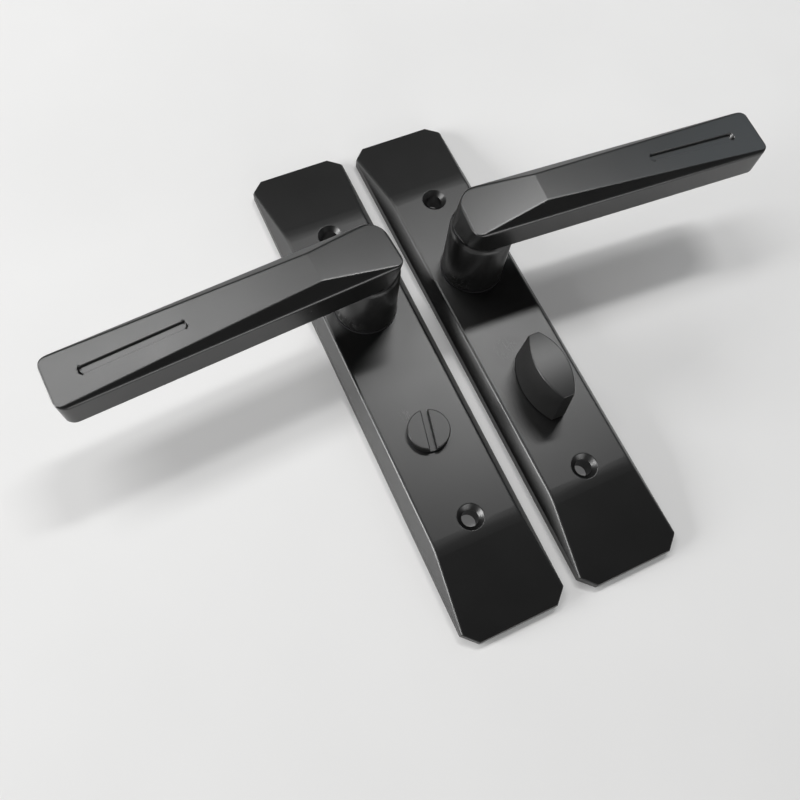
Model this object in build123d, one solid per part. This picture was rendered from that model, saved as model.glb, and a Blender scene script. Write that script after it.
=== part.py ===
from build123d import *
import os
from math import asin, atan, cos, degrees, radians, sin, sqrt

os.makedirs("parts", exist_ok=True)

# A privacy lever set for a door, lying as an unfitted pair: the outside half with its coin release
# and the inside half with its thumb turn. Millimetres. X runs across the plates, Y up the door,
# Z away from it. The origin is on the door face, midway between the two plates.

# Plates
PLATE_L = 180.0
PLATE_W = 35.5
PLATE_H = 8.25
RIM_H = 3.2
FLAT_L = 120.6
BEVEL_RUN = 3.1
CORNER = 4.5
WALL = 2.0
CREASE_R = 30.0
TOP_R = 1.2
EDGE_R = 0.5
PAIR_SPACING = 41.0
CENTRES = 50.0
RIB_T = 1.6

# Fixing holes
HOLE_SPACING = 110.8
HOLE_D = 5.5
SINK_D = 8.6
SINK_LIP_R = 0.4
POST_WALL = 2.6

# Lever grip, measured from its turning axis
GRIP_STANDOFF = 24.25
GRIP_SIDE_H = 10.0
RIDGE_RISE = 2.7
TIP_RISE = 0.5
TIP_REACH = 99.1
TIP_HALF_W = 9.1
TIP_R = 3.6
HEAD_UPPER_W = 8.8
HEAD_LOWER_W = 9.9
HEAD_END = 8.0
HEAD_UPPER_R = 7.0
HEAD_LOWER_R = 3.2
RIDGE_REACH = 17.8
RIDGE_HALF_W = 5.3
DROOP = 3.85
RIDGE_R = 1.2
GRIP_EDGE_R = 0.5
GROOVE_START = 58.0
GROOVE_L = 31.5
GROOVE_W = 2.4
GROOVE_DEPTH = 1.0
GROOVE_R = 0.7
GROOVE_LIP_R = 0.35

# Lever neck, shank and spindle socket
NECK_R = 10.7
NECK_TOP_R = 9.8
NECK_CHAMFER = 1.6
SHANK_R = 7.0
SHANK_FLAT = 5.5
SPINDLE = 8.0
SOCKET_TOP = 28.0

# Lever bearing and return mechanism, stacked up from the door face
LEVER_TRAVEL = 45.0
BUSH_R = 8.5
BUSH_FLANGE_R = 11.0
BUSH_FLANGE_T = 0.9
BACK_GAP = 0.2
LAND = 0.45
CLIP_T = 0.8
CLIP_W = 2.2
CLIP_MOUTH = 60.0
GROOVE_SINK = 0.8
DRIVER_T = 1.0
DRIVER_R = 11.0
TAB_W = 4.0
TAB_REACH = 14.2
FINGER_W = 3.0
FINGER_T = 1.2
STOP_R = 1.5
STOP_REACH = 12.6
SPRING_WIRE = 1.1
SPRING_R = 9.6
SPRING_ANCHOR = 55.0
SPRING_TURNS = 2
SPRING_GAP = 0.15
FINGER_ANGLE = 130.0
TAB_ANGLE = 292.5

# Coin release and thumb turn
STEM_R = 4.75
STEM_FLAT = 3.9
SNIB = 5.0
SNIB_DEPTH = 7.0
TURN_BUSH_R = 5.75
TURN_FLANGE_R = 7.0
TURN_FLANGE_T = 0.6
TURN_BOSS_R = 8.0
TURN_BOSS_H = 1.2
TURN_TRAVEL = 90.0
STOP_WASHER_T = 1.0
STOP_WASHER_R = 7.2
TURN_TAB_REACH = 11.0
TURN_TAB_ANGLE = 225.0
TURN_STOP_REACH = 9.4
SPRING_WASHER_T = 0.4
SPRING_WASHER_R = 7.0
SPRING_WASHER_H = 1.0
TURN_CLIP_W = 2.0
COIN_R = 6.9
COIN_H = 2.6
COIN_EDGE_R = 0.35
COIN_SLOT_W = 2.3
COIN_SLOT_DEPTH = 1.7
COIN_ANGLE = 12.4
KNOB_L = 25.2
KNOB_W = 12.6
KNOB_END_W = 4.6
KNOB_H = 17.0
KNOB_CROWN = 1.0
KNOB_DRAFT = 3.3
KNOB_EDGE_R = 0.4
KNOB_SEAT_R = 6.0
KNOB_SEAT_H = 0.6

# Clearances
RUN_FIT = 0.05
KEY_FIT = 0.1
PLAY = 0.1

LEVER_AT = Pos(0, CENTRES / 2, 0)
TURN_AT = Pos(0, -CENTRES / 2, 0)
GRIP_AT = Rot(0, 0, -DROOP)
CEILING = PLATE_H - WALL
RIB_Z = CEILING / 2

# Heights in the lever's stack
CLIP_Z = BACK_GAP + LAND
DRIVER_Z = CLIP_Z + CLIP_T + PLAY
DRIVER_TOP = DRIVER_Z + DRIVER_T
BUSH_Z = DRIVER_TOP + PLAY
NECK_Z = PLATE_H + BUSH_FLANGE_T + PLAY
GRIP_Z = PLATE_H + GRIP_STANDOFF
SIDE_TOP = GRIP_Z + GRIP_SIDE_H
RIDGE_Z = SIDE_TOP + RIDGE_RISE
TIP_Z = SIDE_TOP + TIP_RISE

# Heights in the turn's stack, down from the plate's ceiling
BOSS_Z = CEILING - TURN_BOSS_H
TURN_BUSH_Z = BOSS_Z - TURN_FLANGE_T
STOP_WASHER_Z = TURN_BUSH_Z - PLAY - STOP_WASHER_T
TURN_CLIP_Z = STOP_WASHER_Z - SPRING_WASHER_H - 2 * RUN_FIT - CLIP_T
STEM_Z = TURN_CLIP_Z - LAND
TURN_Z = PLATE_H + PLAY


def ring(outer, inner, low, high):
    """Plain ring on the Z axis between two heights."""
    blank = Cylinder(outer, high - low) - Cylinder(inner, high - low)
    return Pos(0, 0, (low + high) / 2) * blank


def rod(radius, low, high):
    """Cylinder on the Z axis between two heights."""
    return Pos(0, 0, (low + high) / 2) * Cylinder(radius, high - low)


def bar(width, depth, low, high):
    """Upright rectangular bar on the Z axis between two heights."""
    return Pos(0, 0, (low + high) / 2) * Box(width, depth, high - low)


def spoke(angle, reach):
    """Place at a given angle and distance from the Z axis, turned to face outward."""
    return Rot(0, 0, angle) * Pos(reach, 0, 0)


def arm(angle, reach, width, low, high):
    """Flat arm from the Z axis out to a given distance."""
    return spoke(angle, reach / 2) * bar(reach, width, low, high)


def flatted(radius, flat, low, high):
    """Round bar with two opposite flats, for keyed pieces."""
    return rod(radius, low, high) & bar(2 * radius, 2 * flat, low, high)


def retaining_clip(groove_r, width, low):
    """Open retaining ring for a groove of the given radius."""
    inner = groove_r + RUN_FIT
    clip = ring(inner + width, inner, low, low + CLIP_T)
    half_mouth = radians(CLIP_MOUTH / 2)
    reach = 2 * (inner + width)
    mouth = Polygon((0, 0), (reach * cos(half_mouth), reach * sin(half_mouth)),
                    (reach * cos(half_mouth), -reach * sin(half_mouth)), align=None)
    return clip - Pos(0, 0, low) * extrude(mouth, CLIP_T)


def stop_spread(reach):
    """Angle between a tab's centre line and the post it rests against, at a given distance out."""
    return degrees(asin((TAB_W / 2 + STOP_R + PLAY) / reach))


def plate_block(inset):
    """Faceted plate form, or the same form drawn in by an even wall for its hollow back."""
    leg = CORNER - inset * (2 - sqrt(2))
    outline = chamfer(Rectangle(PLATE_W - 2 * inset, PLATE_L - 2 * inset).vertices(), leg)
    block = extrude(outline, PLATE_H - inset)
    rise = PLATE_H - RIM_H
    end_run = (PLATE_L - FLAT_L) / 2
    for side in (1, -1):
        slopes = (
            (Vector(side * PLATE_W / 2, 0, RIM_H), Vector(side * rise, 0, BEVEL_RUN)),
            (Vector(0, side * PLATE_L / 2, RIM_H), Vector(0, side * rise, end_run)),
        )
        for foot, normal in slopes:
            face = Plane(foot - normal.normalized() * inset, z_dir=normal)
            block = split(block, face, keep=Keep.BOTTOM)
    return block


def screw_hole():
    """Clearance hole with its countersink, which flares on past the plate's top, to cut from a plate."""
    flare = (SINK_D - HOLE_D) / 2 + WALL
    sink = Pos(0, 0, PLATE_H + WALL - flare / 2) * Cone(HOLE_D / 2, HOLE_D / 2 + flare, flare)
    return rod(HOLE_D / 2, 0, PLATE_H) + sink


def stop_posts():
    """Posts cast under the plate: stops for the lever and the turn, and the spring's anchor."""
    post = rod(STOP_R, DRIVER_Z, CEILING)
    spread = stop_spread(STOP_REACH)
    anchor_spread = degrees(asin((STOP_R + SPRING_WIRE / 2 + RUN_FIT) / STOP_REACH))
    angles = [TAB_ANGLE + spread, TAB_ANGLE - LEVER_TRAVEL - spread, SPRING_ANCHOR - anchor_spread]
    posts = [LEVER_AT * spoke(angle, STOP_REACH) * post for angle in angles]
    turn_post = rod(STOP_R, STOP_WASHER_Z, CEILING)
    turn_spread = stop_spread(TURN_STOP_REACH)
    turn_angles = (TURN_TAB_ANGLE - turn_spread, TURN_TAB_ANGLE + TURN_TRAVEL + turn_spread)
    posts += [TURN_AT * spoke(angle, TURN_STOP_REACH) * turn_post for angle in turn_angles]
    return posts


def softened_block():
    """Plate form with blended creases, rounded top edges and an eased rim."""
    form = plate_block(0)
    form = fillet(form.edges().group_by(Axis.Z)[-1].filter_by(Axis.X), CREASE_R)
    band = RIM_H + EDGE_R
    sides = form.edges().filter_by(lambda edge: edge.center().Z > band and abs(edge.center().X) > PLATE_W / 4)
    form = fillet(sides, TOP_R)
    return fillet(form.edges().filter_by(lambda edge: RIM_H / 4 < edge.center().Z < band), EDGE_R)


def plate():
    """Hollow cast plate with bearing holes, screw posts, stop posts and ribs."""
    hollow = plate_block(WALL)
    post_r = SINK_D / 2 + POST_WALL
    screw_places = [Pos(0, side * HOLE_SPACING / 2, 0) for side in (1, -1)]
    inner = [place * rod(post_r, 0, PLATE_H) for place in screw_places]
    inner.append(TURN_AT * rod(TURN_BOSS_R, BOSS_Z, PLATE_H))
    inner.append(bar(PLATE_W, RIB_T, RIB_Z, PLATE_H))
    end_rib = bar(RIB_T, (PLATE_L - HOLE_SPACING) / 2, RIB_Z, PLATE_H)
    inner += [Pos(0, side * (PLATE_L + HOLE_SPACING) / 4, 0) * end_rib for side in (1, -1)]
    inner += stop_posts()
    kept = hollow & (inner[0] + inner[1:])
    body = softened_block() - (hollow - kept)
    holes = [place * screw_hole() for place in screw_places]
    drilled = body - holes
    lips = new_edges(body, *holes, combined=drilled).filter_by(lambda edge: edge.center().Z > CEILING)
    body = fillet(lips, SINK_LIP_R)
    body -= LEVER_AT * rod(BUSH_R + RUN_FIT, 0, PLATE_H)
    body -= TURN_AT * rod(TURN_BUSH_R + RUN_FIT, 0, PLATE_H)
    return body


def plane_through(first, second, third):
    """Plane through three points with its normal upward."""
    a, b, c = Vector(*first), Vector(*second), Vector(*third)
    normal = (b - a).cross(c - a)
    return Plane(a, z_dir=normal if normal.Z > 0 else -normal)


def lever_hip_planes():
    """The four sloping faces that meet along the short ridge across the grip."""
    ridge = [(RIDGE_REACH, side * RIDGE_HALF_W, RIDGE_Z) for side in (1, -1)]
    planes = [
        plane_through(*ridge, (-HEAD_END, 0, SIDE_TOP)),
        plane_through(*ridge, (TIP_REACH, 0, TIP_Z)),
    ]
    for side, width, top in zip((1, -1), (HEAD_UPPER_W, HEAD_LOWER_W), ridge):
        head = (-HEAD_END, side * width, SIDE_TOP)
        tip = (TIP_REACH, side * TIP_HALF_W, SIDE_TOP)
        planes.append(plane_through(head, top, tip))
    return planes


def lever_grip():
    """Flat bar with a hipped top that droops a little from its square, sloping head end."""
    outline = Polygon((-NECK_R, HEAD_UPPER_W), (-NECK_R, -HEAD_LOWER_W),
                      (TIP_REACH, -TIP_HALF_W), (TIP_REACH, TIP_HALF_W), align=None)
    outline = fillet(outline.vertices().group_by(Axis.X)[-1], TIP_R)
    body = GRIP_AT * Pos(0, 0, GRIP_Z) * extrude(outline, RIDGE_Z - GRIP_Z)
    end_slope = Plane((-HEAD_END, 0, SIDE_TOP), z_dir=(-GRIP_SIDE_H, 0, NECK_TOP_R - HEAD_END))
    body = split(body, end_slope, keep=Keep.BOTTOM)
    for corner, radius in ((-1, HEAD_UPPER_R), (0, HEAD_LOWER_R)):
        end = body.faces().sort_by(Axis.X)[0]
        body = fillet(end.edges().sort_by(Axis.Y)[corner], radius)
    for face in lever_hip_planes():
        body = split(body, GRIP_AT * face, keep=Keep.BOTTOM)
    hip_z = SIDE_TOP + RIDGE_RISE / 3
    body = fillet(body.edges().filter_by(lambda edge: edge.center().Z > hip_z), RIDGE_R)
    body = fillet(body.edges().filter_by(lambda edge: edge.center().Z < hip_z), GRIP_EDGE_R)
    groove = grip_groove()
    grooved = body - groove
    return fillet(new_edges(body, groove, combined=grooved), GROOVE_LIP_R)


def grip_groove():
    """Shallow round-cornered groove let into the sloping top of the grip."""
    slope = (RIDGE_Z - TIP_Z) / (TIP_REACH - RIDGE_REACH)
    middle = GROOVE_START + GROOVE_L / 2
    top = RIDGE_Z - slope * (middle - RIDGE_REACH)
    tilt = degrees(atan(slope))
    blank = extrude(RectangleRounded(GROOVE_L, GROOVE_W, GROOVE_R), GROOVE_DEPTH, both=True)
    return GRIP_AT * Pos(middle, 0, top) * Rot(0, tilt, 0) * blank


def lever():
    """Lever pointing along X: grip, neck, bearing shank, spindle socket and clip groove."""
    neck_top = GRIP_Z - NECK_CHAMFER
    neck_outline = Polygon((0, NECK_Z), (NECK_R - RUN_FIT, NECK_Z), (NECK_R, NECK_Z + RUN_FIT),
                           (NECK_R, neck_top), (NECK_TOP_R, GRIP_Z), (0, GRIP_Z), align=None)
    body = lever_grip() + revolve(Plane.XZ * neck_outline, Axis.Z)
    body += rod(SHANK_R, DRIVER_TOP, NECK_Z)
    body += flatted(SHANK_R, SHANK_FLAT, BACK_GAP, DRIVER_TOP)
    body -= ring(SHANK_R, SHANK_R - GROOVE_SINK, CLIP_Z - PLAY / 2, CLIP_Z + CLIP_T + PLAY / 2)
    socket = SPINDLE + KEY_FIT
    return body - bar(socket, socket, BACK_GAP, SOCKET_TOP)


def lever_bush():
    """Flanged bearing sleeve that also centres the return spring."""
    sleeve = ring(BUSH_R, SHANK_R + RUN_FIT, BUSH_Z, PLATE_H)
    return sleeve + ring(BUSH_FLANGE_R, SHANK_R + RUN_FIT, PLATE_H, PLATE_H + BUSH_FLANGE_T)


def spring_driver():
    """Keyed steel plate with a stop tab and an upturned finger that winds the spring."""
    body = rod(DRIVER_R, DRIVER_Z, DRIVER_TOP)
    body += arm(TAB_ANGLE, TAB_REACH, TAB_W, DRIVER_Z, DRIVER_TOP)
    body += arm(FINGER_ANGLE, STOP_REACH + FINGER_T / 2, FINGER_W, DRIVER_Z, DRIVER_TOP)
    finger_top = DRIVER_TOP + 2 * (SPRING_GAP + SPRING_WIRE)
    body += spoke(FINGER_ANGLE, STOP_REACH) * bar(FINGER_T, FINGER_W, DRIVER_Z, finger_top)
    return body - flatted(SHANK_R + KEY_FIT, SHANK_FLAT + KEY_FIT, DRIVER_Z, DRIVER_TOP)


def return_spring():
    """Torsion spring round the bush, from the driver's finger up to the plate's anchor post."""
    wire_r = SPRING_WIRE / 2
    low = DRIVER_TOP + SPRING_GAP + wire_r
    high = CEILING - SPRING_GAP - wire_r
    start = FINGER_ANGLE - degrees(atan((FINGER_W / 2 + wire_r + PLAY) / (STOP_REACH - FINGER_T / 2)))
    turns = SPRING_TURNS + (SPRING_ANCHOR - start) / 360
    coil = Pos(0, 0, low) * Rot(0, 0, start) * Helix((high - low) / turns, high - low, SPRING_R)
    section = Plane(coil @ 0, z_dir=coil % 0) * Circle(wire_r)
    spring = sweep(section, path=coil, is_frenet=True)
    leg = Rot(0, 90, 0) * Cylinder(wire_r, TAB_REACH - SPRING_R)
    for angle, height in ((start, low), (SPRING_ANCHOR, high)):
        spring += Pos(0, 0, height) * spoke(angle, (SPRING_R + TAB_REACH) / 2) * leg
        spring += Pos(0, 0, height) * spoke(angle, SPRING_R) * Sphere(wire_r)
    return spring


def turn_stem():
    """Stem shared by the coin release and the thumb turn, with a socket for the snib's square bar."""
    stem = rod(STEM_R, STOP_WASHER_Z + STOP_WASHER_T, TURN_Z)
    stem += flatted(STEM_R, STEM_FLAT, STEM_Z, STOP_WASHER_Z + STOP_WASHER_T)
    stem -= ring(STEM_R, STEM_R - GROOVE_SINK, TURN_CLIP_Z - PLAY / 2, TURN_CLIP_Z + CLIP_T + PLAY / 2)
    socket = SNIB + KEY_FIT
    return stem - bar(socket, socket, STEM_Z, STEM_Z + SNIB_DEPTH)


def coin_release():
    """Slotted disc, worked from outside with a coin."""
    slot_low = TURN_Z + COIN_H - COIN_SLOT_DEPTH
    disc = rod(COIN_R, TURN_Z, TURN_Z + COIN_H) - bar(COIN_SLOT_W, 2 * COIN_R, slot_low, TURN_Z + COIN_H)
    return fillet(disc.edges().group_by(Axis.Z)[-1], COIN_EDGE_R) + turn_stem()


def thumb_turn():
    """Lens-shaped knob with blunt ends, drafted walls and a crowned top."""
    half_l, half_w, half_end = KNOB_L / 2, KNOB_W / 2, KNOB_END_W / 2
    outline = []
    for side in (1, -1):
        corners = [(side * half_end, -half_l), (side * half_end, half_l)]
        outline.append(ThreePointArc(corners[0], (side * half_w, 0), corners[1]))
        outline.append(Line((-half_end, side * half_l), (half_end, side * half_l)))
    knob_z = TURN_Z + KNOB_SEAT_H
    blank = Pos(0, 0, knob_z) * extrude(make_face(outline), KNOB_H, taper=KNOB_DRAFT)
    crown_r = (half_l ** 2 + KNOB_CROWN ** 2) / (2 * KNOB_CROWN)
    crown = Pos(0, 0, knob_z + KNOB_H - crown_r) * Rot(0, 90, 0) * Cylinder(crown_r, KNOB_W)
    knob = blank & crown
    top_edges = knob.edges().filter_by(lambda edge: edge.center().Z > knob_z + KNOB_H / 2)
    knob = fillet(top_edges, KNOB_EDGE_R)
    return knob + rod(KNOB_SEAT_R, TURN_Z, knob_z) + turn_stem()


def turn_bush():
    """Bearing sleeve for a turn's stem, flanged under the plate's boss."""
    sleeve = ring(TURN_BUSH_R, STEM_R + RUN_FIT, TURN_BUSH_Z, PLATE_H)
    return sleeve + ring(TURN_FLANGE_R, STEM_R + RUN_FIT, TURN_BUSH_Z, BOSS_Z)


def stop_washer():
    """Keyed washer whose tab runs between the plate's two posts."""
    top = STOP_WASHER_Z + STOP_WASHER_T
    body = rod(STOP_WASHER_R, STOP_WASHER_Z, top)
    body += arm(TURN_TAB_ANGLE, TURN_TAB_REACH, TAB_W, STOP_WASHER_Z, top)
    return body - flatted(STEM_R + KEY_FIT, STEM_FLAT + KEY_FIT, STOP_WASHER_Z, top)


def spring_washer():
    """Dished washer that takes up the turn's end play."""
    low = TURN_CLIP_Z + CLIP_T + RUN_FIT
    high = low + SPRING_WASHER_H
    inner = STEM_R + KEY_FIT
    outline = Polygon((inner, low), (inner, low + SPRING_WASHER_T), (SPRING_WASHER_R, high),
                      (SPRING_WASHER_R, high - SPRING_WASHER_T), align=None)
    return revolve(Plane.XZ * outline, Axis.Z)


def lever_set():
    """One half's lever and return mechanism, by piece name, with the lever pointing along X."""
    return {
        "lever": lever(),
        "lever_bush": lever_bush(),
        "return_spring": return_spring(),
        "spring_driver": spring_driver(),
        "lever_clip": Rot(0, 0, 90) * retaining_clip(SHANK_R - GROOVE_SINK, CLIP_W, CLIP_Z),
    }


def turn_set(turn, angle):
    """One half's turning piece with its washers and clip, set to an angle."""
    turned = Rot(0, 0, angle)
    return {
        "": turned * turn,
        "_bush": turn_bush(),
        "_stop_washer": turned * stop_washer(),
        "_spring_washer": spring_washer(),
        "_clip": turned * Rot(0, 0, 90) * retaining_clip(STEM_R - GROOVE_SINK, TURN_CLIP_W, TURN_CLIP_Z),
    }


def half_set(side, turn_name, turn, turn_angle):
    """Every piece of one half, in the half's own frame."""
    pieces = {side + "_plate": plate()}
    for name, shape in lever_set().items():
        pieces[side + "_" + name] = LEVER_AT * shape
    for suffix, shape in turn_set(turn, turn_angle).items():
        pieces[turn_name + suffix] = TURN_AT * shape
    return pieces


def main():
    """Builds both halves, the outside one as a mirror image, and writes each piece."""
    inside_at = Pos(PAIR_SPACING / 2, 0, 0)
    for name, shape in half_set("inside", "thumb_turn", thumb_turn(), 0).items():
        export_step(inside_at * shape, "parts/" + name + ".step")
    outside_at = Pos(-PAIR_SPACING / 2, 0, 0)
    for name, shape in half_set("outside", "coin_release", coin_release(), COIN_ANGLE).items():
        export_step(outside_at * mirror(shape, Plane.YZ), "parts/" + name + ".step")


if __name__ == "__main__":
    main()
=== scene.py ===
from math import cos, hypot, pi, radians, sin, sqrt

import bmesh
import bpy
from mathutils import Matrix, Vector


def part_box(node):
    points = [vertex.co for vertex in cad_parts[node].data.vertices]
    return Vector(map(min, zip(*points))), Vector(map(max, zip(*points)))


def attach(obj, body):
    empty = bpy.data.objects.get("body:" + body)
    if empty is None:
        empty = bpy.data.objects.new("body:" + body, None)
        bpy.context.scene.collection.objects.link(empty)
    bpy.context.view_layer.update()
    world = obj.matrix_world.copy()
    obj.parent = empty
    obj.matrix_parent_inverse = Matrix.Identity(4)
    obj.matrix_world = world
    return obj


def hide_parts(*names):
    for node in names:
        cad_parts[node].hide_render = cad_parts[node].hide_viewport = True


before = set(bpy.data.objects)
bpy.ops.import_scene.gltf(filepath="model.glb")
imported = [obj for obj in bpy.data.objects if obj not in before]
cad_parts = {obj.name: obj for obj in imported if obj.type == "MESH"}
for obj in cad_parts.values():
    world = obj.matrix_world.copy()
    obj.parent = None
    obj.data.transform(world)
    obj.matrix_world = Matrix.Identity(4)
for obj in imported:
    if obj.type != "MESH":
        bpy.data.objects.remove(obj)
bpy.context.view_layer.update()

bl_info = {
    "name": "Door handle lock finishes",
    "version": (1, 0, 0),
    "blender": (4, 5, 0),
    "location": "3D View > Sidebar > Handle Lock",
    "description": "Paints the two lever handles, shapes their grips, and sets the table they lie on",
    "category": "Object",
}

# Refractive index of the surfaces that aren't bare metal
PAINT_IOR = 1.62
NYLON_IOR = 1.53
LAMINATE_IOR = 1.45

# How far the paint's tone drifts either way, and how much roughness its drift, grain and dust bring
TONE_DRIFT = 0.25
DRIFT_ROUGHNESS = 0.05
GRAIN_ROUGHNESS = 0.06
DUST_ROUGHNESS = 0.25
GRAIN_BUMP = 0.35

# How much roughness the bushes' flow and pores, the plating's rolling marks and clouds, the springs'
# oil film and drawing marks, and the table's grain bring
FLOW_ROUGHNESS = 0.12
PORE_ROUGHNESS = 0.06
ROLLED_ROUGHNESS = 0.14
CLOUD_ROUGHNESS = 0.06
FILM_ROUGHNESS = 0.16
DRAWN_ROUGHNESS = 0.05
TABLE_ROUGHNESS = 0.1

# How much closer the bushes' flow lines and the plating's rolling marks lie along x, y and z
FLOW_FACTORS = (1, 1, 4)
ROLLED_FACTORS = (1, 12, 1)

# Fine strokes in the rubbed marks: how tightly they lie along x, y and z, and how wide they are
STROKE_FACTORS = (900, 260, 500)
STROKE_WIDTH = 0.012

# Rubbed marks on the plates, each with its centre, radius and strength
PLATE_MARKS = (
    ((0.0168, -0.0085, 0.0083), 0.006, 0.5),
    ((-0.0252, -0.017, 0.0083), 0.003, 0.6),
)

# Scuffs on the necks, set off from the middle of the bush's top
SCUFF_OFFSET = (-0.009, -0.005, 0.002)
SCUFF_RADIUS = 0.008
SCUFF_STRENGTH = 0.8

# Making the lever's mesh: points this close are one, the neck is cut this far below the grip,
# and edges sharper than this angle aren't shaded smooth
WELD_DISTANCE = 1e-7
CUT_CLEARANCE = 0.0001
SHARP_ANGLE = radians(26)

# Tone of the backdrop that the camera sees, which the table is paled towards as well
BACKDROP_LEVEL = 0.9

# Each lamp's brightness setting, centre, width and length, turn in degrees, and colour
LAMP_WHITE = (1, 1, 0.995)
LAMP_COOL = (0.80, 0.92, 1)
LAMPS = {
    "tube_lamp": ("tube_radiance", (0.48, 0.455, 1.2), (0.50, 0.10), (0, 0, -10), LAMP_WHITE),
    "left_panel": ("left_radiance", (-0.45, 0.65, 1.2), (1.0, 0.24), (0, 0, 0), LAMP_WHITE),
    "right_panel": ("right_radiance", (1.44, 0.60, 1.2), (0.72, 0.40), (0, 0, 0), LAMP_COOL),
    "left_window": ("window_radiance", (-1.48, 0.26, 0.40), (0.6, 0.8), (0, -90, -10), LAMP_WHITE),
    "front_panel": ("front_radiance", (0.3, -1.5, 0.4), (1.2, 0.6), (90, 0, 0), LAMP_WHITE),
}

# Width of the camera's frame in millimetres, and the nearest point it sees in metres
FRAME_WIDTH = 36
NEAREST_SEEN = 0.01


class Value:
    """A shader socket that can stand in a sum: each operator adds one Math node."""

    def __init__(self, net, socket):
        self.net = net
        self.socket = socket

    def maths(self, operation, *terms):
        return self.net.node("ShaderNodeMath", {"operation": operation}, dict(enumerate(terms)))

    def __add__(self, other):
        return self.maths("ADD", self, other)

    def __radd__(self, other):
        return self.maths("ADD", other, self)

    def __sub__(self, other):
        return self.maths("SUBTRACT", self, other)

    def __rsub__(self, other):
        return self.maths("SUBTRACT", other, self)

    def __mul__(self, other):
        return self.maths("MULTIPLY", self, other)

    def __rmul__(self, other):
        return self.maths("MULTIPLY", other, self)

    def __lt__(self, other):
        return self.maths("LESS_THAN", self, other)

    def __gt__(self, other):
        return self.maths("GREATER_THAN", self, other)

    def __abs__(self):
        return self.maths("ABSOLUTE", self)


class Net:
    """A node tree that is filled from Python."""

    def __init__(self, tree):
        self.tree = tree
        tree.nodes.clear()

    def node(self, kind, settings=None, sockets=None, out=0):
        """Adds a node, sets it up, fills its sockets with values or links, and gives one output."""
        made = self.tree.nodes.new(kind)
        for name, value in (settings or {}).items():
            setattr(made, name, value)
        for key, value in (sockets or {}).items():
            socket = self.find(made.inputs, key)
            if isinstance(value, Value):
                self.tree.links.new(value.socket, socket)
            else:
                socket.default_value = value
        return Value(self, self.find(made.outputs, out)) if made.outputs else None

    @staticmethod
    def find(sockets, key):
        """A socket by its number, or by its name among those in use."""
        if isinstance(key, int):
            return sockets[key]
        return next(s for s in sockets if s.enabled and s.name == key)

    def place(self):
        """The point on the object, in metres in its own frame."""
        return self.node("ShaderNodeTexCoord", out="Object")

    def vector(self, operation, first, second, out="Vector"):
        return self.node("ShaderNodeVectorMath", {"operation": operation}, {0: first, 1: second}, out)

    def stretched(self, place, factors):
        return self.vector("MULTIPLY", place, factors)

    def noise(self, place, size, detail=2.0):
        """Soft noise from 0 to 1 whose lumps are about this many metres across."""
        lumps = {"Vector": place, "Scale": 1 / size, "Detail": detail}
        return self.node("ShaderNodeTexNoise", None, lumps)

    def eased(self, value, low, high, to_low=0.0, to_high=1.0):
        """A value carried smoothly from one range to another, held at both ends."""
        ranges = {"Value": value, "From Min": low, "From Max": high, "To Min": to_low, "To Max": to_high}
        return self.node("ShaderNodeMapRange", {"interpolation_type": "SMOOTHSTEP"}, ranges, "Result")

    def mixed(self, factor, first, second):
        tones = {"Factor": factor, "A": first, "B": second}
        return self.node("ShaderNodeMix", {"data_type": "RGBA"}, tones, "Result")

    def spot(self, place, centre, radius):
        """One at a point of the object, falling to nothing at the radius."""
        away = self.vector("DISTANCE", place, centre, "Value")
        return self.eased(away, low=0.0, high=radius, to_low=1.0, to_high=0.0)

    def specks(self, place, spacing, radius, share):
        """Scattered grains of dust: a share of the cells hold one."""
        cells = {"Vector": place, "Scale": 1 / spacing}
        away = self.node("ShaderNodeTexVoronoi", None, cells, "Distance")
        draw = self.node("ShaderNodeTexVoronoi", None, cells, "Color")
        pick = self.node("ShaderNodeSeparateColor", None, {"Color": draw}, "Red")
        return (away < radius / spacing) * (pick < share)

    def hairlines(self, place, factors, width):
        """Thin wavering scratches: where a stretched noise crosses its middle."""
        return abs(self.noise(self.stretched(place, factors), size=1.0, detail=1.0) - 0.5) < width

    def ray(self, kind):
        """One where a ray of this kind arrives."""
        return self.node("ShaderNodeLightPath", out=f"Is {kind} Ray")

    def seen(self):
        """One for what the camera sees, directly, in gloss or through glass."""
        seen = self.ray("Camera")
        for kind in ("Glossy", "Transmission"):
            seen = seen.maths("MAXIMUM", seen, self.ray(kind))
        return seen

    def bump(self, height, strength, distance):
        relief = {"Height": height, "Strength": strength, "Distance": distance}
        return self.node("ShaderNodeBump", None, relief, "Normal")


def listed(*endings):
    """The frame's nodes whose names end in one of these words."""
    return sorted(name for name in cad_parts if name.endswith(endings))


def grey(level, warmth=0.0):
    """A near-neutral colour; warmth lifts red and lowers blue by that share."""
    return (level * (1 + warmth), level, level * (1 - warmth), 1)


def shade(colour, *factors):
    """A colour made paler or darker, by one factor or by one for each of its three parts."""
    return (*(part * factor for part, factor in zip(colour, factors * (3 // len(factors)))), 1)


def finish_of(name, fill, lift=0.0):
    """A new material whose surface takes the sockets that fill gives; lift pales what is seen of it."""
    material = bpy.data.materials.new(name)
    material.use_nodes = True
    net = Net(material.node_tree)
    surface = net.node("ShaderNodeBsdfPrincipled", None, fill(net), "BSDF")
    if lift:
        glow = net.node("ShaderNodeEmission", None, {"Color": grey(BACKDROP_LEVEL), "Strength": 1.0})
        surface = net.node("ShaderNodeMixShader", None, {0: net.seen() * lift, 1: surface, 2: glow})
    net.node("ShaderNodeOutputMaterial", None, {"Surface": surface})
    return material


def dress(names, material):
    """Puts one finish on CAD nodes, which stay as they are."""
    for name in names:
        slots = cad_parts[name].material_slots
        if not slots:
            raise RuntimeError(f"{name} has no material slot to paint")
        for slot in slots:
            slot.material = material


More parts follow.
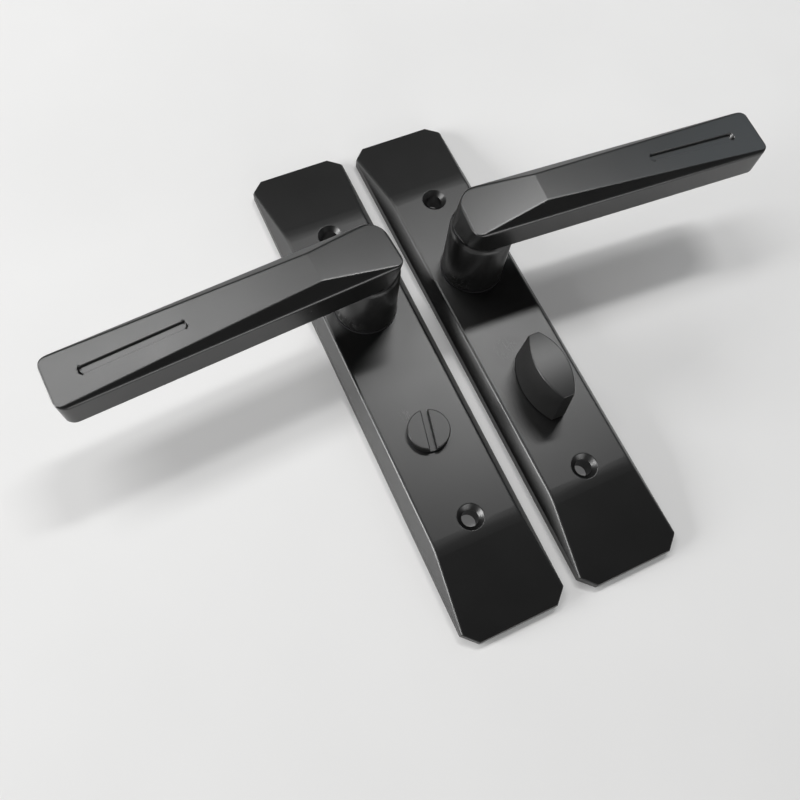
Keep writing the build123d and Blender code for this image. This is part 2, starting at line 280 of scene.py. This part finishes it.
def baked_paint(scene, kind, marks=()):
    """Black powder paint: fine grain, a drift in gloss, dust, and rubbed marks where the part was handled."""
    paint = scene.handlelock_paint
    wear = scene.handlelock_wear
    tone = getattr(paint, kind + "_tone")
    roughness = getattr(paint, kind + "_roughness")

    def fill(net):
        place = net.place()
        fine = net.noise(place, paint.grain, detail=3.0)
        drift = net.noise(place, wear.drift_size)
        dust = net.specks(place, wear.dust_spacing, wear.dust_radius, wear.dust_share)
        for centre, radius, strength in marks:
            rub = net.spot(place, centre, radius) * net.hairlines(place, STROKE_FACTORS, STROKE_WIDTH)
            dust = dust.maths("MAXIMUM", dust, rub * strength)
        ground = net.mixed(drift, grey(tone * (1 - TONE_DRIFT)), grey(tone * (1 + TONE_DRIFT)))
        mottled = roughness + (drift - 0.5) * DRIFT_ROUGHNESS + (fine - 0.5) * GRAIN_ROUGHNESS
        return {
            "Base Color": net.mixed(dust, ground, grey(wear.dust_tone)),
            "Roughness": mottled + dust * DUST_ROUGHNESS,
            "IOR": PAINT_IOR,
            "Normal": net.bump(fine, GRAIN_BUMP, paint.grain_depth),
        }

    return finish_of(kind + "_paint", fill)


class Grip:
    """Hipped lever grip along u, with v across it and z up from its flat underside."""

    # Steps round a quarter of an edge, and from the underside to the top of a wall
    ARC_STEPS = 4
    WALL_STEPS = ARC_STEPS + 2

    # How far the flat of a wall keeps from the grip's edges, in edge radii
    WALL_MARGIN = 1.5

    # Where sections are drawn, as shares of the edge, head and tip radius, the ridge blend and the groove lip
    END_SHARES = (0, 0.08, 0.3, 0.6, 1.0)
    HEAD_SHARES = (0.14, 0.22, 0.32, 0.45, 0.6, 0.8, 1.0)
    TIP_SHARES = (0.25, 0.4, 0.6, 0.8, 1.0)
    RIDGE_SHARES = (-4, -1, 0, 1, 4)
    LIP_SHARES = (-1.5, -0.5, -0.25, 0, 0.25, 0.5, 1, 2, 4)

    # Even steps along the bar up to the groove, and along the groove
    BAR_STEPS = 8

    # Where a section has points, as shares of the hip's width, the ridge blend and the groove lip
    HIP_SHARE = 0.15
    HIP_PARTS = 3
    OUTER_SHARES = (2.0, 1.0, 0.5, 0.0)
    INNER_SHARES = (0.5, 1.0, 2.0, 4.0)
    GROOVE_SHARES = (1.5, 0.5, 0.25, 0.0, -0.25, -0.5)

    # How soon behind the axis the head's foot is fully drawn in, as parts of the neck's radius
    DRAWN_PARTS = 3

    def __init__(self, sizes):
        self.sizes = sizes
        self.heads = {-1: (sizes.head_near_width, sizes.head_near_radius),
                      1: (sizes.head_far_width, sizes.head_far_radius)}

    def edge(self, u, side):
        """Half width of the outline before its corners are rounded."""
        s, head = self.sizes, self.heads[side][0]
        return head + (s.tip_half_width - head) * (u + s.head_end) / (s.tip_reach + s.head_end)

    def half_width(self, u, side):
        """Half width of the outline with its corners rounded."""
        s, width = self.sizes, self.edge(u, side)
        for radius, inside in ((s.tip_radius, s.tip_reach - u), (self.heads[side][1], u + s.head_end)):
            if inside < radius:
                width -= radius - sqrt(radius ** 2 - (radius - inside) ** 2)
        return width

    def crown(self, u):
        """Height of the two long top planes, which meet at the cross ridge."""
        s = self.sizes
        if u < s.ridge_reach:
            return s.side_height + s.ridge_rise * (u + s.head_end) / (s.ridge_reach + s.head_end)
        share = (u - s.ridge_reach) / (s.tip_reach - s.ridge_reach)
        return s.side_height + s.ridge_rise + (s.tip_rise - s.ridge_rise) * share

    def hip_slope(self, side):
        """Slope of the long face on one side, from its edge up to the cross ridge's end."""
        s = self.sizes
        return s.ridge_rise / (self.edge(s.ridge_reach, side) - s.ridge_half_width)

    def groove(self, u, v):
        """Depth of the groove, with its lips and corners rounded."""
        s = self.sizes
        along = abs(u - s.groove_start - s.groove_length / 2) - s.groove_length / 2 + s.groove_radius
        across = v - s.groove_width / 2 + s.groove_radius
        outside = hypot(max(along, 0), max(across, 0)) + min(max(along, across), 0) - s.groove_radius
        share = min(max(0.5 - outside / s.groove_lip, 0), 1)
        return s.groove_depth * share * share * (3 - 2 * share)

    def top(self, u, v, side):
        """Height of the top, with the ridge between its planes rounded."""
        s, crown = self.sizes, self.crown(u)
        hip = s.side_height + self.hip_slope(side) * (self.edge(u, side) - v)
        blend = max(s.ridge_blend - abs(crown - hip), 0)
        return min(crown, hip) - blend ** 2 / (4 * s.ridge_blend) - self.groove(u, v)

    def across(self, u, side):
        """Places across one half of the top, from its edge to the middle."""
        s = self.sizes
        reach = self.edge(u, side) - s.edge_radius
        ridge = self.edge(u, side) - (self.crown(u) - s.side_height) / self.hip_slope(side)
        ridge = min(ridge, reach - s.edge_radius)
        room = reach - ridge
        lip, half = s.groove_lip, s.groove_width / 2
        places = [reach, reach - room * self.HIP_SHARE]
        places += [ridge + min(share * s.ridge_blend, share * room / self.HIP_PARTS)
                   for share in self.OUTER_SHARES]
        places += [ridge - share * s.ridge_blend for share in self.INNER_SHARES]
        places += [half + share * lip for share in self.GROOVE_SHARES]
        places += [half / 2, 0]
        return [place / reach * (self.half_width(u, side) - s.edge_radius) for place in places]

    def half_section(self, u, side):
        """Points (v, z) of one half of the section, from the underside up and in to the middle."""
        s = self.sizes
        radius = s.edge_radius
        from_end = min(u + s.head_end, s.tip_reach - u)
        inset = radius - sqrt(radius ** 2 - max(radius - from_end, 0) ** 2)
        width = self.half_width(u, side)
        rim = self.top(u, width, side)
        places = self.across(u, side)
        shoulder = self.top(u, places[0], side)
        points = []
        for step in range(self.ARC_STEPS + 1):
            turned = pi / 2 / self.ARC_STEPS * step
            points.append((width - radius + radius * sin(turned), radius - radius * cos(turned) + inset))
        points += [(width, self.WALL_MARGIN * radius), (width, rim - self.WALL_MARGIN * radius)]
        for step in range(self.ARC_STEPS + 1):
            t = step / self.ARC_STEPS
            v = width - t * t * (width - places[0])
            z = (1 - t) ** 2 * (rim - radius) + 2 * t * (1 - t) * rim + t * t * shoulder
            points.append((v, z))
        points += [(place, self.top(u, place, side)) for place in places[1:]]
        return [(v * (1 - inset / width), z - inset if z > s.side_height / 2 else z) for v, z in points]

    def stations(self):
        """Places along the grip where a section is drawn, closest at its ends, ridge and groove."""
        s = self.sizes
        ends = [s.edge_radius * share for share in self.END_SHARES]
        head = ends + [s.head_far_radius * share for share in self.HEAD_SHARES]
        tip = ends + [s.tip_radius * share for share in self.TIP_SHARES]
        places = [inside - s.head_end for inside in head] + [s.tip_reach - inside for inside in tip]
        places += [s.ridge_reach + share * s.ridge_blend for share in self.RIDGE_SHARES]
        for end, inward in ((s.groove_start, 1), (s.groove_start + s.groove_length, -1)):
            places += [end + inward * s.groove_lip * share for share in self.LIP_SHARES]
        bar = (s.ridge_reach, s.groove_start - s.ridge_reach)
        for start, run in (bar, (s.groove_start, s.groove_length)):
            places += [start + run * step / self.BAR_STEPS for step in range(1, self.BAR_STEPS)]
        places += [(s.head_far_radius - s.head_end + s.ridge_reach) / 2]
        return sorted(places)

    def drawn_in(self, u, v, z):
        """A point of the skin with the head's foot leant back and drawn in to the round neck."""
        s = self.sizes
        low = max(1 - z / s.side_height, 0)
        u -= s.head_lean * low * max(1 - (u + s.head_end) / (2 * s.head_end), 0)
        over = hypot(u, v) / s.neck_radius
        if u < 0 and over > 1:
            scale = 1 + (1 / over - 1) * low * min(-u / s.neck_radius * self.DRAWN_PARTS, 1)
            return u * scale, v * scale, z
        return u, v, z

    def add_to(self, mesh, put):
        """Adds the grip's skin to a mesh, each point set in place by put(u, v, z)."""
        rings = []
        for u in self.stations():
            near = [(-v, z) for v, z in self.half_section(u, -1)]
            far = self.half_section(u, 1)[-2::-1]
            rings.append([mesh.verts.new(put(*self.drawn_in(u, v, z))) for v, z in near + far])
        for ring, after in zip(rings, rings[1:]):
            for k in range(len(ring)):
                mesh.faces.new((ring[k - 1], ring[k], after[k], after[k - 1]))
        for ring in (rings[0], rings[-1]):
            for k in range(self.WALL_STEPS):
                mesh.faces.new((ring[k], ring[k + 1], ring[-2 - k], ring[-1 - k]))
            mesh.faces.new(ring[self.WALL_STEPS:len(ring) - self.WALL_STEPS])


def length(name, description, default, least=0.0, most=1.0):
    """A size in metres that can be set in the panel."""
    return bpy.props.FloatProperty(name=name, description=description, default=default, min=least, max=most,
                                   subtype="DISTANCE", unit="LENGTH", precision=6)


def angle(name, description, default):
    """An angle that can be set in the panel."""
    return bpy.props.FloatProperty(name=name, description=description, default=default,
                                   subtype="ANGLE", unit="ROTATION")


def point(name, description, default):
    """A point of the frame that can be set in the panel."""
    return bpy.props.FloatVectorProperty(name=name, description=description, default=default, size=3,
                                         subtype="TRANSLATION", unit="LENGTH", precision=5)


def ratio(name, description, default):
    """A number from 0 to 1 that can be set in the panel."""
    return bpy.props.FloatProperty(name=name, description=description, default=default, min=0.0, max=1.0,
                                   subtype="FACTOR")


def tint(name, description, default):
    """A colour that can be set in the panel."""
    return bpy.props.FloatVectorProperty(name=name, description=description, default=default, size=3,
                                         min=0.0, max=1.0, subtype="COLOR")


def brightness(name, description, default):
    """The brightness of a lamp or of the room, which can be set in the panel."""
    return bpy.props.FloatProperty(name=name, description=description, default=default, min=0.0, max=1000.0)


class LeverSettings(bpy.types.PropertyGroup):
    """Hipped grip of the levers, measured from the turning axis"""

    tip_reach: length("Tip reach", "From the axis to the tip", 0.0991)
    tip_half_width: length("Tip half width", "Half the width of the grip at its tip", 0.0091)
    tip_radius: length("Tip radius", "Rounding of the tip's corners", 0.0036)
    tip_rise: length("Tip rise", "Height of the top above the sides at the tip", 0.0005)
    head_end: length("Head end", "From the axis back to the head's end", 0.008)
    head_lean: length("Head lean", "How much further back the head's end is at its foot", 0.0018)
    head_near_width: length("Head near width", "Half width of the head on its lower side", 0.0099)
    head_far_width: length("Head far width", "Half width of the head on its upper side", 0.0088)
    head_near_radius: length("Head near radius", "Rounding of the head's lower corner", 0.0032)
    head_far_radius: length("Head far radius", "Rounding of the head's upper corner", 0.007)
    side_height: length("Side height", "Height of the grip's sides", 0.010)
    ridge_reach: length("Ridge reach", "From the axis to the cross ridge", 0.0178)
    ridge_half_width: length("Ridge half width", "Half the length of the cross ridge", 0.0053)
    ridge_rise: length("Ridge rise", "Height of the cross ridge above the sides", 0.0027)
    ridge_blend: length("Ridge blend", "How much the ridges are rounded", 0.00025)
    edge_radius: length("Edge radius", "Rounding of the grip's edges", 0.0006)
    groove_start: length("Groove start", "From the axis to the groove", 0.058)
    groove_length: length("Groove length", "Length of the groove", 0.0315)
    groove_width: length("Groove width", "Width of the groove", 0.0024)
    groove_depth: length("Groove depth", "Depth of the groove", 0.001)
    groove_radius: length("Groove radius", "Rounding of the groove's corners in plan", 0.0007)
    groove_lip: length("Groove lip", "Width of the groove's sloping lip", 0.0005)
    neck_radius: length("Neck radius", "Radius of the neck where it meets the grip", 0.0098)
    neck_overlap: length("Neck overlap", "How far the neck runs up into the grip", 0.0008)
    droop: angle("Droop", "How far the grip hangs below square", radians(3.85))


class PaintSettings(bpy.types.PropertyGroup):
    """Black powder paint of the plates, levers and turns"""

    plate_tone: ratio("Plate tone", "How much light the plates' paint scatters", 0.003)
    plate_roughness: ratio("Plate roughness", "Roughness of the plates' paint", 0.38)
    lever_tone: ratio("Lever tone", "How much light the levers' paint scatters", 0.007)
    lever_roughness: ratio("Lever roughness", "Roughness of the levers' paint", 0.30)
    turn_tone: ratio("Turn tone", "How much light the turns' paint scatters", 0.006)
    turn_roughness: ratio("Turn roughness", "Roughness of the turns' paint", 0.40)
    grain: length("Paint grain", "Size of the lumps in the powder paint", 0.00045, 0.0001, 0.01)
    grain_depth: length("Grain depth", "Height of the lumps in the powder paint", 0.00001, 0.0, 0.001)


class WearSettings(bpy.types.PropertyGroup):
    """Dust and rubbed places on the paint"""

    drift_size: length("Drift size", "Width of the slow changes in gloss", 0.018, 0.001)
    dust_spacing: length("Dust spacing", "Size of the cells that may hold a grain of dust", 0.009, 0.001, 0.1)
    dust_radius: length("Dust radius", "Largest radius of a grain of dust", 0.00018, 0.00001, 0.01)
    dust_share: ratio("Dust share", "Share of the cells that hold a grain", 0.3)
    dust_tone: ratio("Dust tone", "How pale the dust and the rubbed strokes are", 0.22)


class InnerSettings(bpy.types.PropertyGroup):
    """Bushes, springs, drivers and washers behind the plates"""

    nylon: tint("Nylon", "Colour of the moulded bushes", (0.010, 0.010, 0.011))
    nylon_roughness: ratio("Nylon roughness", "Roughness of the bushes where they are smoothest", 0.42)
    plating: tint("Plating", "Colour of the zinc plated steel", (0.56, 0.56, 0.53))
    plating_roughness: ratio("Plating roughness", "Roughness of the plating where it is smoothest", 0.26)
    wire: tint("Wire", "Colour of the oiled spring steel", (0.30, 0.29, 0.28))
    wire_roughness: ratio("Wire roughness", "Roughness of the spring steel where it is smoothest", 0.24)


class StageSettings(bpy.types.PropertyGroup):
    """Table, lamps and camera"""

    table_tone: ratio("Table tone", "How pale the table top is", 0.78)
    table_lift: ratio("Table lift", "How far the seen table is paled, which softens the shadows on it", 0.12)
    table_roughness: ratio("Table roughness", "Roughness of the table top where it is smoothest", 0.5)
    table_span: length("Table span", "Width of the table top", 3.0, 0.5, 50.0)
    tube_radiance: brightness("Tube brightness", "Radiance of the long ceiling lamp", 42.0)
    left_radiance: brightness("Left panel brightness", "Radiance of the panel on the left", 10.3)
    right_radiance: brightness("Right panel brightness", "Radiance of the panel on the right", 1.6)
    window_radiance: brightness("Window brightness", "Radiance of the low window on the left", 20.0)
    front_radiance: brightness("Front panel brightness", "Radiance of the panel in front", 4.0)
    room_level: brightness("Room level", "Light that comes from the room all round", 0.35)
    eye: point("Eye", "Where the camera stands", (-0.08071, -0.09466, 0.2466))
    aim: point("Aim", "Point that the camera looks at", (-0.02224, -0.00852, 0.0))
    roll: angle("Roll", "How far the camera is turned about its view", 0.17593)
    lens: bpy.props.FloatProperty(
        name="Lens", description="Focal length on a 36 mm frame, in millimetres", default=35.83, min=1.0)


class HANDLELOCK_OT_plates(bpy.types.Operator):
    """Paint both long plates"""

    bl_idname = "handlelock.plates"
    bl_label = "Plates"

    def execute(self, context):
        dress(listed("_plate"), baked_paint(context.scene, "plate", PLATE_MARKS))
        return {"FINISHED"}


class HANDLELOCK_OT_levers(bpy.types.Operator):
    """Paint both levers and give them their hipped grips"""

    bl_idname = "handlelock.levers"
    bl_label = "Levers"

    def execute(self, context):
        names = listed("_lever")
        finish = baked_paint(context.scene, "lever", [self.scuff(name) for name in names])
        dress(names, finish)
        for name in names:
            self.shaped(name, context.scene.handlelock_lever, finish)
        return {"FINISHED"}

    def scuff(self, name):
        """Where a lever's neck is rubbed: centre, radius and strength."""
        low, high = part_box(name + "_bush")
        middle = (low + high) / 2
        x, y, z = SCUFF_OFFSET
        return (middle.x + x, middle.y + y, high.z + z), SCUFF_RADIUS, SCUFF_STRENGTH

    def neck(self, name, base, overlap):
        """The CAD lever cut off under its grip, run up into the grip's place and closed."""
        mesh = bmesh.new()
        mesh.from_mesh(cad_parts[name].data)
        bmesh.ops.remove_doubles(mesh, verts=mesh.verts, dist=WELD_DISTANCE)
        bmesh.ops.bisect_plane(mesh, geom=[*mesh.verts, *mesh.edges, *mesh.faces], clear_outer=True,
                               plane_co=(0, 0, base - CUT_CLEARANCE), plane_no=(0, 0, 1))
        rim = [edge for edge in mesh.edges if edge.is_boundary]
        for made in bmesh.ops.extrude_edge_only(mesh, edges=rim)["geom"]:
            if isinstance(made, bmesh.types.BMVert):
                made.co.z += overlap
        bmesh.ops.holes_fill(mesh, edges=[edge for edge in mesh.edges if edge.is_boundary])
        return mesh

    def shaped(self, name, sizes, finish):
        """Stands for a lever: the CAD neck with a grip whose hips run out at the tip."""
        low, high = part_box(name + "_bush")
        axis = (low + high) / 2
        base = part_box(name)[1].z - sizes.side_height - sizes.ridge_rise
        way = 1 if axis.x > 0 else -1

        def put(u, v, z):
            x = u * cos(sizes.droop) + v * sin(sizes.droop)
            y = v * cos(sizes.droop) - u * sin(sizes.droop)
            return axis.x + way * x, axis.y + y, base + z

        mesh = self.neck(name, base, sizes.neck_overlap)
        Grip(sizes).add_to(mesh, put)
        bmesh.ops.recalc_face_normals(mesh, faces=mesh.faces)
        data = bpy.data.meshes.new(name + "_hipped")
        mesh.to_mesh(data)
        mesh.free()
        data.shade_smooth()
        data.set_sharp_from_angle(angle=SHARP_ANGLE)
        data.materials.clear()
        data.materials.append(finish)
        lever = bpy.data.objects.new(name + "_hipped", data)
        bpy.context.scene.collection.objects.link(lever)
        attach(lever, name)
        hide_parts(name)


class HANDLELOCK_OT_turns(bpy.types.Operator):
    """Paint the thumb turn and the slotted release"""

    bl_idname = "handlelock.turns"
    bl_label = "Turns"

    def execute(self, context):
        dress(["coin_release", "thumb_turn"], baked_paint(context.scene, "turn"))
        return {"FINISHED"}


class HANDLELOCK_OT_bushes(bpy.types.Operator):
    """Mould the nylon bushes that the levers and turns run in"""

    bl_idname = "handlelock.bushes"
    bl_label = "Bushes"

    def execute(self, context):
        inner = context.scene.handlelock_inner

        def moulded(net):
            place = net.place()
            pores = net.noise(place, size=0.0003, detail=3.0)
            flow = net.noise(net.stretched(place, FLOW_FACTORS), size=0.006)
            darker = shade(inner.nylon, 0.8)
            paler = shade(inner.nylon, 1.3)
            return {
                "Base Color": net.mixed(flow, darker, paler),
                "Roughness": inner.nylon_roughness + flow * FLOW_ROUGHNESS + pores * PORE_ROUGHNESS,
                "IOR": NYLON_IOR,
                "Normal": net.bump(pores, strength=0.3, distance=0.00001),
            }

        dress(listed("_bush"), finish_of("bush_nylon", moulded))
        return {"FINISHED"}


class HANDLELOCK_OT_drivers(bpy.types.Operator):
    """Plate the spring drivers and stop washers"""

    bl_idname = "handlelock.drivers"
    bl_label = "Drivers and stop washers"

    def execute(self, context):
        inner = context.scene.handlelock_inner

        def plated(net):
            place = net.place()
            cloud = net.noise(place, size=0.004, detail=3.0)
            rolled = net.noise(net.stretched(place, ROLLED_FACTORS), size=0.004)
            dull = shade(inner.plating, 0.85)
            yellowed = shade(inner.plating, 1.05, 1.02, 0.88)
            return {
                "Base Color": net.mixed(cloud, dull, yellowed),
                "Metallic": 1.0,
                "Roughness": inner.plating_roughness + rolled * ROLLED_ROUGHNESS + cloud * CLOUD_ROUGHNESS,
                "Normal": net.bump(rolled, strength=0.15, distance=0.00002),
            }

        dress(listed("_spring_driver", "_stop_washer"), finish_of("plated_steel", plated))
        return {"FINISHED"}


class HANDLELOCK_OT_springs(bpy.types.Operator):
    """Oil the return springs, clips and spring washers"""

    bl_idname = "handlelock.springs"
    bl_label = "Springs and clips"

    def execute(self, context):
        inner = context.scene.handlelock_inner

        def oiled(net):
            place = net.place()
            film = net.noise(place, size=0.003, detail=3.0)
            drawn = net.noise(place, size=0.0002)
            darker = shade(inner.wire, 0.7)
            paler = shade(inner.wire, 1.2)
            return {
                "Base Color": net.mixed(film, darker, paler),
                "Metallic": 1.0,
                "Roughness": inner.wire_roughness + film * FILM_ROUGHNESS + drawn * DRAWN_ROUGHNESS,
                "Normal": net.bump(drawn, strength=0.2, distance=0.00001),
            }

        dress(listed("_spring", "_clip", "_spring_washer"), finish_of("spring_steel", oiled))
        return {"FINISHED"}


class HANDLELOCK_OT_stage(bpy.types.Operator):
    """Lay the pale table, hang the lamps and stand the camera"""

    bl_idname = "handlelock.stage"
    bl_label = "Table, lamps and camera"

    def execute(self, context):
        scene = context.scene
        stage = scene.handlelock_stage
        scene.view_settings.view_transform = "Standard"
        self.table(stage)
        self.room(scene, stage)
        for name, (level, centre, span, turn, colour) in LAMPS.items():
            self.lamp(name, centre, span, turn, getattr(stage, level), colour)
        self.camera(scene, stage)
        return {"FINISHED"}

    def table(self, stage):
        half = stage.table_span / 2
        corners = [(-half, -half, 0), (half, -half, 0), (half, half, 0), (-half, half, 0)]
        mesh = bpy.data.meshes.new("table_top")
        mesh.from_pydata(corners, [], [(0, 1, 2, 3)])
        top = bpy.data.objects.new("table_top", mesh)
        bpy.context.scene.collection.objects.link(top)

        def laminate(net):
            place = net.place()
            cloud = net.noise(place, size=0.05, detail=3.0)
            fine = net.noise(place, size=0.0012)
            darker = grey(stage.table_tone * 0.97, warmth=0.004)
            paler = grey(stage.table_tone * 1.03, warmth=0.004)
            return {
                "Base Color": net.mixed(cloud, darker, paler),
                "Roughness": stage.table_roughness + fine * TABLE_ROUGHNESS,
                "IOR": LAMINATE_IOR,
                "Normal": net.bump(fine, strength=0.1, distance=0.00002),
            }

        mesh.materials.append(finish_of("table_laminate", laminate, stage.table_lift))

    def room(self, scene, stage):
        """Light from all round, less from overhead and the far side; the camera sees a plain backdrop."""
        world = bpy.data.worlds.new("room")
        scene.world = world
        world.use_nodes = True
        net = Net(world.node_tree)
        way = {"Vector": net.node("ShaderNodeTexCoord", out="Generated")}
        upward = net.node("ShaderNodeSeparateXYZ", None, way, "Z")
        onward = net.node("ShaderNodeSeparateXYZ", None, way, "Y")
        walls = net.eased(upward, low=0.40, high=0.65, to_low=1.0, to_high=0.06)
        far_wall = net.eased(onward, low=0.2, high=0.8, to_low=1.0, to_high=0.35)
        level = walls * far_wall * stage.room_level
        level = level + net.ray("Camera") * (BACKDROP_LEVEL - level)
        back = net.node("ShaderNodeBackground", None, {"Color": grey(1.0), "Strength": level})
        net.node("ShaderNodeOutputWorld", None, {"Surface": back})

    def lamp(self, name, centre, span, turn, radiance, colour):
        light = bpy.data.lights.new(name, "AREA")
        light.shape = "RECTANGLE"
        light.size, light.size_y = span
        light.energy = radiance * pi * span[0] * span[1]
        light.color = colour
        lamp = bpy.data.objects.new(name, light)
        lamp.location = centre
        lamp.rotation_euler = [radians(degrees) for degrees in turn]
        lamp.visible_camera = False
        bpy.context.scene.collection.objects.link(lamp)

    def camera(self, scene, stage):
        lens = bpy.data.cameras.new("camera")
        lens.sensor_width = FRAME_WIDTH
        lens.lens = stage.lens
        lens.clip_start = NEAREST_SEEN
        camera = bpy.data.objects.new("camera", lens)
        eye = Vector(stage.eye)
        look = (Vector(stage.aim) - eye).to_track_quat("-Z", "Y").to_matrix().to_4x4()
        camera.matrix_world = Matrix.Translation(eye) @ look @ Matrix.Rotation(stage.roll, 4, "Z")
        scene.collection.objects.link(camera)
        scene.camera = camera


OPERATORS = (HANDLELOCK_OT_plates, HANDLELOCK_OT_levers, HANDLELOCK_OT_turns, HANDLELOCK_OT_bushes,
             HANDLELOCK_OT_drivers, HANDLELOCK_OT_springs, HANDLELOCK_OT_stage)
GROUPS = {
    "handlelock_lever": LeverSettings,
    "handlelock_paint": PaintSettings,
    "handlelock_wear": WearSettings,
    "handlelock_inner": InnerSettings,
    "handlelock_stage": StageSettings,
}


class HANDLELOCK_PT_panel(bpy.types.Panel):
    """Finishes of the door handle lock"""

    bl_idname = "HANDLELOCK_PT_panel"
    bl_label = "Door Handle Lock"
    bl_space_type = "VIEW_3D"
    bl_region_type = "UI"
    bl_category = "Handle Lock"

    def draw(self, context):
        for group in GROUPS:
            settings = getattr(context.scene, group)
            box = self.layout.box()
            box.label(text=type(settings).__doc__)
            for name in type(settings).__annotations__:
                box.prop(settings, name)
        for operator in OPERATORS:
            self.layout.operator(operator.bl_idname)


def register():
    for cls in (*GROUPS.values(), *OPERATORS, HANDLELOCK_PT_panel):
        bpy.utils.register_class(cls)
    for name, group in GROUPS.items():
        setattr(bpy.types.Scene, name, bpy.props.PointerProperty(type=group))


def unregister():
    for name in GROUPS:
        delattr(bpy.types.Scene, name)
    for cls in (HANDLELOCK_PT_panel, *reversed(OPERATORS), *reversed(GROUPS.values())):
        bpy.utils.unregister_class(cls)


def main():
    register()
    bpy.ops.handlelock.plates()
    bpy.ops.handlelock.levers()
    bpy.ops.handlelock.turns()
    bpy.ops.handlelock.bushes()
    bpy.ops.handlelock.drivers()
    bpy.ops.handlelock.springs()
    bpy.ops.handlelock.stage()


if __name__ == "__main__":
    main()
